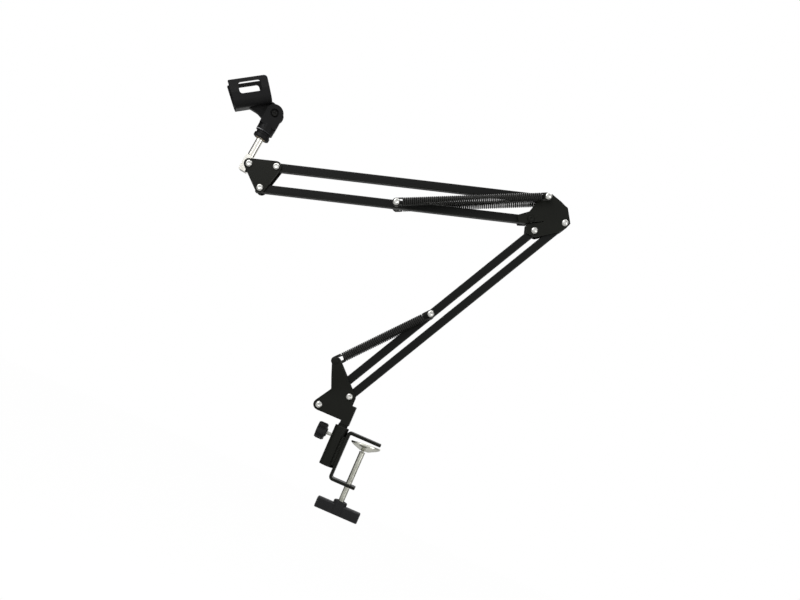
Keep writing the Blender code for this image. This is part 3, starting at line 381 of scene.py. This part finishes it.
stud_height = -0.0095
stud_crest, stud_root, stud_pitch = 0.00235, 0.0019, 0.0008
stud_low, stud_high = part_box("thumb_screw_stud")
knob_low, knob_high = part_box("thumb_screw_knob")
along_stud = Matrix.Translation((0, 0, stud_height)) @ Matrix.Rotation(math.pi / 2, 4, "Y")
stud = turned(bmesh.new(), [(stud_root, stud_low.x), (stud_root, stud_high.x - 0.0003),
                            (stud_root - 0.0003, stud_high.x)], along_stud, 20)
thread(stud, stud_crest, stud_root - 0.0001, stud_pitch, knob_high.x - 0.002, stud_high.x - 0.0008,
       along_stud)
set_piece(stud, "thumb_stud", zinc_plate, "zinc_plate", "thumb_screw", "thumb_screw_stud")

# Knob of the thumb screw: six lobes of black ABS, moulded on the stud. Each lobe's flat has four
# round grip ribs, at these shares of the lobe's angle.
knob_radius, knob_edge = 0.0105, 0.0007
knob_lobes, lobe_width = 6, 0.55
rib_radius, rib_length, rib_shift = 0.0005, 0.0086, 0.0008
knob = rounded_copy("thumb_screw_knob", knob_edge, 3)
flat_reach = knob_radius * math.cos(lobe_width * math.pi / knob_lobes)
for lobe in range(knob_lobes):
    for rib in (-0.225, -0.075, 0.075, 0.225):
        turn = 2 * math.pi * (lobe + rib) / knob_lobes
        reach = flat_reach / math.cos(2 * math.pi * rib / knob_lobes)
        spot = Matrix.Translation(((knob_low.x + knob_high.x) / 2 - rib_shift, reach * math.sin(turn),
                                   stud_height + reach * math.cos(turn)))
        bmesh.ops.create_cone(knob, cap_ends=True, segments=8, radius1=rib_radius, radius2=rib_radius,
                              depth=rib_length, matrix=spot @ Matrix.Rotation(math.pi / 2, 4, "Y"))
set_piece(knob, "thumb_knob", moulded, "black_plastic", "thumb_screw", "thumb_screw_knob")

# Clamp screw: an M8 rolled thread, nickel plated, swaged at its top so that the pad hangs loosely
# on its neck. Old grease dulls and darkens the warm nickel in patches 6 mm wide.
grease_patch = 0.006
nickel_thread, nodes, shader, place = new_finish("nickel_plated_rolled_thread", {"Metallic": 1.0})
cloud = add_node(nodes, "TexNoise", {"Vector": place, "Scale": 1 / grease_patch, "Detail": 4.0})
grease = add_node(nodes, "MapRange", {"Value": cloud.outputs[0], "From Min": 0.4, "From Max": 0.75})
tone = add_node(nodes, "Mix", {0: grease.outputs[0], 6: linear("#c0c0b6"), 7: linear("#96978c")},
                data_type="RGBA")
nodes.links.new(tone.outputs[2], shader.inputs["Base Color"])
dull = add_node(nodes, "MapRange", {"Value": cloud.outputs[0], "To Min": 0.25, "To Max": 0.42})
nodes.links.new(dull.outputs[0], shader.inputs["Roughness"])
screw_crest, screw_root, screw_pitch = 0.004, 0.0036, 0.00125
screw_low, screw_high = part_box("clamp_screw")
swage_height, thread_foot = 0.00526, -0.0880
shoulder = screw_high.z - swage_height
upright = Matrix.Identity(4)
screw = turned(bmesh.new(), [
    (0.0048, screw_high.z), (0.0053, screw_high.z - 0.0003), (0.0053, screw_high.z - 0.0011),
    (0.0050, screw_high.z - 0.0013), (0.0017, screw_high.z - 0.0013), (0.0017, shoulder),
    (0.0033, shoulder), (0.0039, shoulder - 0.0005), (0.0039, shoulder - 0.0014),
    (screw_root, shoulder - 0.0018), (screw_root, screw_low.z)], upright)
thread(screw, screw_crest, screw_root - 0.0002, screw_pitch, shoulder - 0.0022, thread_foot, upright, 24)
set_piece(screw, "rolled_clamp_screw", nickel_thread, "nickel_plate", "clamp_screw", "clamp_screw")

# T handle of the clamp screw: a moulded bar with soft edges and a round hub, pressed on the screw's
# foot. It is of the same black ABS as the knob.
bar_top, bar_depth, bar_edge = -0.0848, 0.0125, 0.0016
hub_radius = 0.0087
handle_low, handle_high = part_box("clamp_handle")
bar_size = (handle_high.x - handle_low.x, bar_depth, bar_top - handle_low.z)
handle = bmesh.new()
bmesh.ops.create_cube(handle, size=1)
bmesh.ops.scale(handle, verts=handle.verts, vec=bar_size)
bmesh.ops.translate(handle, verts=handle.verts, vec=(0, 0, handle_low.z + bar_size[2] / 2))
round_edges(handle, handle.edges[:], bar_edge, 4)
hub_high = handle_high.z
turned(handle, [(0.0043, hub_high - 0.0014), (0.0046, hub_high - 0.0003), (0.0050, hub_high),
                (0.0074, hub_high), (0.0083, hub_high - 0.0004), (hub_radius, hub_high - 0.0013),
                (hub_radius, handle_low.z + 0.0016), (0.0081, handle_low.z + 0.0006),
                (0.0040, handle_low.z + 0.0006)], upright, 40)
set_piece(handle, "moulded_t_handle", moulded, "black_plastic", "clamp_screw", "clamp_handle")

# Swivel pad: a shallow dish pressed from sheet steel and nickel plated. It tilts on the screw's
# neck and hangs a little askew under the jaw. Pressing leaves it slightly greenish and streaked.
dish = [(0.0035, 0.0013), (0.0050, 0.0014), (0.0148, 0.0054), (0.0158, 0.0060), (0.0177, 0.0072),
        (0.0177, 0.0084), (0.0180, 0.0086), (0.0188, 0.0086), (0.0190, 0.0083), (0.0190, 0.0069),
        (0.0187, 0.0065), (0.0166, 0.0050), (0.0156, 0.0044), (0.0146, 0.0039), (0.0058, 0.0002),
        (0.0052, 0.0), (0.0037, 0.0), (0.0035, 0.0002)]
pad_seat = Vector((0.0015, 0, -0.01245))
pad_turn = Euler((-math.radians(2.5), -math.radians(5), 0)).to_matrix().to_4x4()
pad_streak = 0.007
pressed_nickel, nodes, shader, place = new_finish("pressed_nickel_plated_sheet", {"Metallic": 1.0})
stretched = add_node(nodes, "Mapping", {"Vector": place, "Scale": (1.0, 1.0, 0.25)})
cloud = add_node(nodes, "TexNoise", {"Vector": stretched.outputs[0], "Scale": 1 / pad_streak, "Detail": 3.0})
tone = add_node(nodes, "Mix", {0: cloud.outputs[0], 6: linear("#b6b7aa"), 7: linear("#ecebe3")},
                data_type="RGBA")
nodes.links.new(tone.outputs[2], shader.inputs["Base Color"])
dull = add_node(nodes, "MapRange", {"Value": cloud.outputs[0], "To Min": 0.28, "To Max": 0.15})
nodes.links.new(dull.outputs[0], shader.inputs["Roughness"])
set_piece(turned(bmesh.new(), dish, Matrix.Translation(pad_seat) @ pad_turn, 64, True), "pressed_pad",
          pressed_nickel, "nickel_plate", "clamp_pad", "swivel_pad")

# Base bracket: sheet steel folded to two flanks and a web, with flared tongues that hold the lower
# springs on domed rivets. The pivot pin is welded in and turns in the clamp's sleeve.
sheet_edge, pin_edge = 0.0003, 0.0006
set_piece(rounded_copy("base_bracket", sheet_edge), "folded_bracket", powder_coat, "black_paint", "arm_base",
          "base_bracket")
set_piece(rounded_copy("pivot_pin", pin_edge), "welded_pivot_pin", powder_coat, "black_paint", "arm_base",
          "pivot_pin")
rivet_shank, rivet_head, rivet_dome = 0.002, 0.0048, 0.00144
to_front, to_rear = Matrix.Rotation(math.pi / 2, 4, "X"), Matrix.Rotation(-math.pi / 2, 4, "X")
for name, outwards in (("front", to_front), ("rear", to_rear)):
    low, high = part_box("spring_rivet_" + name)
    middle = (low + high) / 2
    outer, inner = max(abs(low.y), abs(high.y)), min(abs(low.y), abs(high.y))
    seat = outer - rivet_dome
    rivet = turned(bmesh.new(), [
        (0.0009, outer), (0.0024, outer - 0.00015), (0.0037, outer - 0.0005), (0.0045, outer - 0.0010),
        (rivet_head, seat), (rivet_shank, seat), (rivet_shank, inner + 0.0015), (0.0032, inner + 0.0013),
        (0.0032, inner + 0.0002), (0.0029, inner)], Matrix.Translation((middle.x, 0, middle.z)) @ outwards)
    set_piece(rivet, "domed_rivet_" + name, powder_coat, "black_paint", "arm_base", "spring_rivet_" + name)


# Square bars of the two arms: drawn steel tube, 10 mm across with a 1.2 mm wall, stove enamelled
# black. The enamel is smoother than the coat and slightly uneven in tone. It keeps the tube's
# faint lengthwise draw lines, drawn 1.8 mm apart so that they show.
def square_bar(start, angle, length):
    """A tube from a pivot at this angle, past both pivots. Its bore is cut only near its two ends."""
    width, wall, corner, past, bore = 0.010, 0.0012, 0.0012, 0.0058, 0.012
    bar = bmesh.new()
    bmesh.ops.create_cube(bar, size=1)
    bmesh.ops.scale(bar, verts=bar.verts, vec=(length + 2 * past, width, width))
    bmesh.ops.translate(bar, verts=bar.verts, vec=(length / 2, 0, 0))
    round_edges(bar, [edge for edge in bar.edges if edge.calc_length() > 2 * width], corner, 4)
    bar.normal_update()
    for side in (-1, 1):
        end = [face for face in bar.faces if face.normal.x * side > 0.9]
        bmesh.ops.inset_region(bar, faces=end, thickness=wall)
        hole = bmesh.ops.extrude_face_region(bar, geom=end)
        bmesh.ops.delete(bar, geom=end, context="FACES")
        moved = [item for item in hole["geom"] if isinstance(item, bmesh.types.BMVert)]
        bmesh.ops.translate(bar, verts=moved, vec=(-side * bore, 0, 0))
    bar.transform(Matrix.Translation(start) @ Matrix.Rotation(-angle, 4, "Y"))
    return bar


def stoved_enamel(name, angle):
    """Enamel on drawn tube whose draw lines run at this angle in the plane of the arms."""
    line_gap, line_stretch, enamel_runs = 0.0018, 0.02, 0.045
    made, tree, shader, place = new_finish(name, {"Specular IOR Level": 0.11, "IOR": 1.5})
    along_bar = add_node(tree, "Mapping", {"Vector": place, "Rotation": (0, angle, 0)})
    lines = add_node(tree, "Mapping", {"Vector": along_bar.outputs[0], "Scale": (line_stretch, 1.0, 1.0)})
    drawn = add_node(tree, "TexNoise", {"Vector": lines.outputs[0], "Scale": 1 / line_gap, "Detail": 2.0})
    runs = add_node(tree, "TexNoise", {"Vector": place, "Scale": 1 / enamel_runs, "Detail": 3.0})
    wear_and_painted_highlight = add_node(tree, "Attribute", attribute_name="wear_and_painted_highlight")
    tone = add_node(tree, "Mix", {0: runs.outputs[0], 6: linear("#0d0e0d"), 7: linear("#131413")},
                    data_type="RGBA")
    streak = add_node(tree, "MapRange", {"Value": drawn.outputs[0], "From Min": 0.55, "From Max": 0.8,
                                         "To Max": 0.3})
    lined = add_node(tree, "Mix", {0: streak.outputs[0], 6: tone.outputs[2], 7: linear("#232322")},
                     data_type="RGBA")
    rub = add_node(tree, "Math", {0: wear_and_painted_highlight.outputs["Fac"], 1: 0.25}, operation="MULTIPLY")
    edge = add_node(tree, "Mix", {0: rub.outputs[0], 6: lined.outputs[2], 7: linear("#3a3a37")},
                    data_type="RGBA")
    tree.links.new(edge.outputs[2], shader.inputs["Base Color"])
    dull = add_node(tree, "MapRange", {"Value": drawn.outputs[0], "To Min": 0.34, "To Max": 0.5})
    tree.links.new(dull.outputs[0], shader.inputs["Roughness"])
    grooves = add_node(tree, "Bump", {"Height": drawn.outputs[0], "Strength": 0.2, "Distance": 0.00005})
    tree.links.new(grooves.outputs[0], shader.inputs["Normal"])
    return made


def along(length, angle):
    """A step of this length in the plane of the arms."""
    return Vector((length * math.cos(angle), 0, length * math.sin(angle)))


lower_length, lower_angle = 0.340, math.radians(62.4)
upper_length, upper_angle = 0.335, math.radians(196.8)
lower_link = along(0.0386, math.radians(37.5))
upper_link = along(0.0328, math.radians(75.5))
base_left = Vector((-0.0723, 0, 0.019))
base_right = base_left + lower_link
elbow_left = base_left + along(lower_length, lower_angle)
elbow_inner = elbow_left + Vector((-0.0097, 0, 0.0108))
elbow_top = elbow_inner + upper_link
lower_enamel = stoved_enamel("stoved_black_enamel_lower_arm", lower_angle)
upper_enamel = stoved_enamel("stoved_black_enamel_upper_arm", upper_angle)
for node, start, angle, length, finish in (
        ("lower_bar_left", base_left, lower_angle, lower_length, lower_enamel),
        ("lower_bar_right", base_right, lower_angle, lower_length, lower_enamel),
        ("upper_bar_bottom", elbow_inner, upper_angle, upper_length, upper_enamel),
        ("upper_bar_top", elbow_top, upper_angle, upper_length, upper_enamel)):
    set_piece(square_bar(start, angle, length), node + "_tube", finish, "black_paint", node, node)

# Elbow and head plates: pairs of blanked sheet-steel plates, powder coated. Each elbow plate has a
# slit and a tongue set outwards, which makes room for the upper arm's ends.
for node, body in (("elbow_plate_front", "elbow"), ("elbow_plate_rear", "elbow"),
                   ("head_plate_front", "head"), ("head_plate_rear", "head")):
    set_piece(rounded_copy(node, sheet_edge), node + "_blanked", powder_coat, "black_paint", body, node)

# Bolts and lock nuts: zinc-plated button-head screws with a hexagon socket, their heads at the
# front, and hexagon nuts with a collar at the rear. The elbow's inner pair is coated black.
head_radius, head_height = 0.0044, 0.0026
shank_radius = 0.0025
socket_radius = 0.0017
nut_radius, nut_bore = 0.0046, 0.0028
head_marks = [(0.0013, 0.0016, 6), (socket_radius, 0.0018, 6), (socket_radius, 0.0023, 6),
              (0.0020, head_height - 0.0001, 32), (0.0026, head_height - 0.0001), (0.0033, 0.00215),
              (0.0039, 0.0016), (0.0043, 0.0009), (head_radius, 0.0004), (0.0043, 0.0),
              (shank_radius, 0.0)]
for bolt, body in (("base_bolt_left", "arm_base"), ("base_bolt_right", "arm_base"),
                   ("lower_spring_bolt", "lower_bar_left"), ("elbow_bolt_left", "elbow"),
                   ("elbow_bolt_right", "elbow"), ("elbow_bolt_top", "elbow"),
                   ("elbow_bolt_inner", "elbow"), ("upper_spring_bolt", "upper_bar_bottom"),
                   ("head_bolt_swivel", "head"), ("head_bolt_top", "head"), ("head_bolt_bottom", "head")):
    coated = bolt == "elbow_bolt_inner"
    finish, slot = (powder_coat, "black_paint") if coated else (zinc_plate, "zinc_plate")
    low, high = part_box(bolt)
    middle = (low + high) / 2
    tail = high.y - low.y - head_height
    shaft = turned(bmesh.new(), head_marks + [(shank_radius, 0.0005 - tail), (0.0021, -tail)],
                   Matrix.Translation((middle.x, low.y + head_height, middle.z)) @ to_front)
    set_piece(shaft, bolt + "_button", finish, slot, body, bolt)
    nut = bolt.replace("bolt", "nut")
    low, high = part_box(nut)
    tall = high.y - low.y
    lock = turned(bmesh.new(), [
        (nut_bore, 0.0), (0.0038, 0.0), (nut_radius, 0.0004, 6), (nut_radius, tall - 0.0011, 6),
        (0.0038, tall - 0.0008), (0.0037, tall - 0.0002), (0.0034, tall), (0.0029, tall),
        (nut_bore, tall - 0.0003)], Matrix.Translation((middle.x, low.y, middle.z)) @ to_rear, 24, True)
    set_piece(lock, nut + "_lock", finish, slot, body, nut)

# Spacers: tubes on the bolts, cut from drawn zinc-plated tube, which keep the plates, the bars and
# the springs' eyes apart. Their plating is duller and darker than that of the turned bolts.
dull_zinc = patchy_metal("dull_zinc_drawn_tube", 0.0022, 4.0, ("#4c4c49", "#7a7a75"), (0.42, 0.62))
bore, wall, chamfer = 0.0028, 0.0041, 0.0002
for node, body in (("elbow_spacer_inner_front", "elbow"), ("elbow_spacer_inner_rear", "elbow"),
                   ("elbow_spacer_top_front", "elbow"), ("elbow_spacer_top_rear", "elbow"),
                   ("elbow_spring_spacer_front", "elbow"), ("elbow_spring_spacer_rear", "elbow"),
                   ("upper_spring_spacer_front", "upper_bar_bottom"),
                   ("upper_spring_spacer_rear", "upper_bar_bottom")):
    low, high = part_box(node)
    middle = (low + high) / 2
    tall = high.y - low.y
    tube = turned(bmesh.new(), [
        (bore, 0.0), (wall - chamfer, 0.0), (wall, chamfer), (wall, tall - chamfer), (wall - chamfer, tall),
        (bore, tall)], Matrix.Translation((middle.x, low.y, middle.z)) @ to_rear, 32, True)
    set_piece(tube, node + "_tube", dull_zinc, "zinc_plate", body, node)

# Tension springs: music wire, wound 10.5 mm across, with a long eye at each end on a bolt or a
# rivet. Each gives way between the part that holds it and the bar that it pulls on, from one share
# of its length to another. The oxide is near black, paler and duller in patches 4 mm wide.
spring_wire = patchy_metal("black_oxide_spring_wire", 0.004, 3.0, ("#161615", "#343432"), (0.3, 0.5),
                           metallic=0.6)
wire_radius, coil_mean = 0.001, 0.00425
coil_pitch, coil_points, eye_points = 0.0024, 14, 10
tongue_tip = base_left + Vector((-0.0027, 0, 0.0571))
lower_anchor = base_left + along(0.176, lower_angle)
upper_anchor = elbow_inner + along(0.166, upper_angle)
lower_give, upper_give = (-0.075, 0.775), (0.0, 0.15)
for pair, start, end, plane, eye_length, give, held, moving in (
        ("lower_spring", tongue_tip, lower_anchor, 0.0104, 0.0105, lower_give, "arm_base",
         "lower_bar_left"),
        ("upper_spring", elbow_top, upper_anchor, 0.0153, 0.0080, upper_give, "elbow",
         "upper_bar_bottom")):
    run = end - start
    coiled = run.length - 2 * eye_length
    coils = round(coiled / coil_pitch)
    eye = [Vector((coil_mean * math.cos(a), 0, -coil_mean * math.sin(a)))
           for a in (math.pi * i / eye_points for i in range(eye_points + 1))]
    eye += [Vector((-coil_mean, 0, eye_length * 0.55)), Vector((-coil_mean * 0.95, 0, eye_length * 0.92))]
    path = eye[::-1]
    for i in range(coils * coil_points + 1):
        turn = 2 * math.pi * i / coil_points
        height = eye_length + coiled * i / (coils * coil_points)
        path.append(Vector((coil_mean * math.cos(turn), coil_mean * math.sin(turn), height)))
    path += [Vector((point.x, 0, run.length - point.z)) for point in eye]
    for side, name in ((-1, pair + "_front"), (1, pair + "_rear")):
        coil = wire_body(path, wire_radius)
        coil.transform(Matrix.Translation(start + Vector((0, side * plane, 0)))
                       @ Matrix.Rotation(math.atan2(run.x, run.z), 4, "Y"))
        mesh = bpy.data.meshes.new(name + "_coil")
        coil.to_mesh(mesh)
        coil.free()
        mesh.shade_smooth()
        mesh.materials.append(spring_wire)
        piece = bpy.data.objects.new(name + "_coil", mesh)
        studio.collection.objects.link(piece)
        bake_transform(piece, held, moving, start=start + run * give[0], end=start + run * give[1])
        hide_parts(name)

# Swivel block and rod at the head: a cast block that turns on the head's bolt, with a turned rod
# pressed into it. Both are polished and nickel plated, a warm near-mirror that is a little duller
# in patches, with the lathe's rings drawn 0.5 mm apart so that they show.
bright_nickel = patchy_metal("polished_nickel_plate", 0.009, 3.0, ("#cfccc3", "#efeee8"), (0.24, 0.12))
turning_rings(bright_nickel, 0.5, 0.06, 0.00002)
block_edge, rod_radius = 0.0011, 0.0044
rod_lean, rod_step = math.radians(6), -0.0047
rod_pitch, thread_low, thread_high = 0.0009, 0.0342, 0.0470
set_piece(rounded_copy("swivel_block", block_edge, 4), "plated_swivel_block", bright_nickel, "nickel_plate",
          "head_swivel", "swivel_block")
head_left = (elbow_inner + along(upper_length, upper_angle) + upper_link
             + Vector((-0.0322, 0, -0.0099)))
rod_seat = (Matrix.Translation(head_left) @ Matrix.Rotation(rod_lean, 4, "Y")
            @ Matrix.Translation((rod_step, 0, 0)))
rod = turned(bmesh.new(), [
    (0.0030, 0.0028), (0.0030, 0.0101), (rod_radius - 0.0004, 0.0101), (rod_radius, 0.0105),
    (rod_radius, 0.0330), (rod_radius - 0.0004, 0.0334), (rod_radius - 0.0004, 0.0474), (0.0036, 0.0479)],
    rod_seat, 40)
thread(rod, rod_radius, rod_radius - 0.0006, rod_pitch, thread_low, thread_high, rod_seat, 24)
set_piece(rod, "plated_rod", bright_nickel, "nickel_plate", "head_swivel", "mic_rod")

# Clip base and microphone clip: injection-moulded black nylon. The base is a fork with a skirt that
# screws on the rod, and the clip is a springy channel with a window, on a tongue between its cheeks.
clip_height, clip_turn = 0.0686, math.radians(15)
clip_seat = (rod_seat @ Matrix.Translation((0, 0, clip_height))) @ Matrix.Rotation(clip_turn, 4, "Z")
lip_height, lip_width, lip_radius = -0.0257, 0.0011, 0.0095
moulded_edge = 0.0005

# The nylon is satin, with faint flow marks and a fine grain, drawn 1.4 mm coarse so that it shows.
# It is paler on its rubbed edges. A light grey highlight is painted on the left of the skirt's lip.
nylon_grain, nylon_flow = 0.0014, 0.016
nylon, nodes, shader, place = new_finish("moulded_black_nylon", {"Specular IOR Level": 0.13, "IOR": 1.5})
grain = add_node(nodes, "TexNoise", {"Vector": place, "Scale": 1 / nylon_grain, "Detail": 3.0})
flow = add_node(nodes, "TexNoise", {"Vector": place, "Scale": 1 / nylon_flow, "Detail": 3.0,
                                    "Distortion": 1.2})
wear_and_painted_highlight = add_node(nodes, "Attribute", attribute_name="wear_and_painted_highlight")
tone = add_node(nodes, "Mix", {0: flow.outputs[0], 6: linear("#0f0f10"), 7: linear("#171718")},
                data_type="RGBA")
# This paler tone is real wear on the rubbed edges, and part of the painted highlight on the skirt's lip.
rub = add_node(nodes, "Math", {0: wear_and_painted_highlight.outputs["Fac"], 1: 0.3}, operation="MULTIPLY")
pale = add_node(nodes, "Mix", {0: rub.outputs[0], 6: tone.outputs[2], 7: linear("#4b4c4e")},
                data_type="RGBA")
# Painted highlight: wear values above 1.5, which only the skirt's lip has, turn the colour light grey.
painted_highlight_share = add_node(nodes, "MapRange", {"Value": wear_and_painted_highlight.outputs["Fac"], "From Min": 1.5, "From Max": 4.0})
with_painted_highlight = add_node(nodes, "Mix", {0: painted_highlight_share.outputs[0], 6: pale.outputs[2], 7: linear("#b4b5b6")},
                data_type="RGBA")
nodes.links.new(with_painted_highlight.outputs[2], shader.inputs["Base Color"])
dull = add_node(nodes, "MapRange", {"Value": flow.outputs[0], "To Min": 0.52, "To Max": 0.38})
nodes.links.new(dull.outputs[0], shader.inputs["Roughness"])
pits = add_node(nodes, "Bump", {"Height": grain.outputs[0], "Strength": 0.2, "Distance": 0.00005})
nodes.links.new(pits.outputs[0], shader.inputs["Normal"])
fork = rounded_copy("clip_base", moulded_edge)
# The fork is cut along the skirt's lip, so that a band of faces there can carry the painted highlight.
bmesh.ops.bisect_plane(fork, geom=fork.verts[:] + fork.edges[:] + fork.faces[:],
                       plane_co=clip_seat @ Vector((0, 0, lip_height + lip_width)),
                       plane_no=clip_seat.to_3x3() @ Vector((0, 0, 1)))
# The lip's band gets a wear value of 1, rising to 4 on its left side. This paints a light grey highlight
# there.
wear_and_painted_highlight = fork.faces.layers.float["wear_and_painted_highlight"]
for face in fork.faces:
    spot = clip_seat.inverted() @ face.calc_center_median()
    reach = math.hypot(spot.x, spot.y)
    if -0.0002 < spot.z - lip_height < lip_width and reach > lip_radius:
        face[wear_and_painted_highlight] = 1 + 3 * max(0, -spot.x / reach)
set_piece(fork, "moulded_fork", nylon, "black_plastic", "clip_base", "clip_base")
set_piece(rounded_copy("mic_clip", moulded_edge), "moulded_clip", nylon, "black_plastic", "mic_clip",
          "mic_clip")

# Brass insert: a turned bush, moulded into the foot of the fork. Its thread is out of sight and
# isn't drawn. The brass is satin and yellow, darker in patches, its rings drawn 0.5 mm apart.
turned_brass = patchy_metal("turned_brass", 0.003, 3.0, ("#a78a4f", "#cdb277"), (0.24, 0.42))
turning_rings(turned_brass, 0.5, 0.1, 0.00002)
bush_bore, bush_radius, bush_foot, bush_top = 0.0047, 0.0062, -0.0339, -0.0207
bush = turned(bmesh.new(), [
    (bush_bore, bush_foot), (0.0050, bush_foot), (0.0060, bush_foot), (bush_radius, -0.0336),
    (bush_radius, bush_top), (bush_bore, bush_top)], clip_seat, 40, True)
set_piece(bush, "threaded_bush", turned_brass, "brass", "clip_base", "clip_insert")

# Clip pivot: a cross-head screw in a round recess of the near cheek, and a zinc-plated hexagon nut
# let into the far one. The screw's black oxide has small patches that are greyer and duller.
screw_edge, nut_edge = 0.0002, 0.0003
black_oxide = patchy_metal("black_oxide_screw", 0.0015, 2.0, ("#111111", "#262625"), (0.32, 0.5),
                           metallic=0.8)
set_piece(rounded_copy("clip_screw", screw_edge), "cross_head_screw", black_oxide, "black_spring_steel",
          "clip_base", "clip_screw")
set_piece(rounded_copy("clip_nut", nut_edge), "let_in_nut", zinc_plate, "zinc_plate", "clip_base",
          "clip_nut")
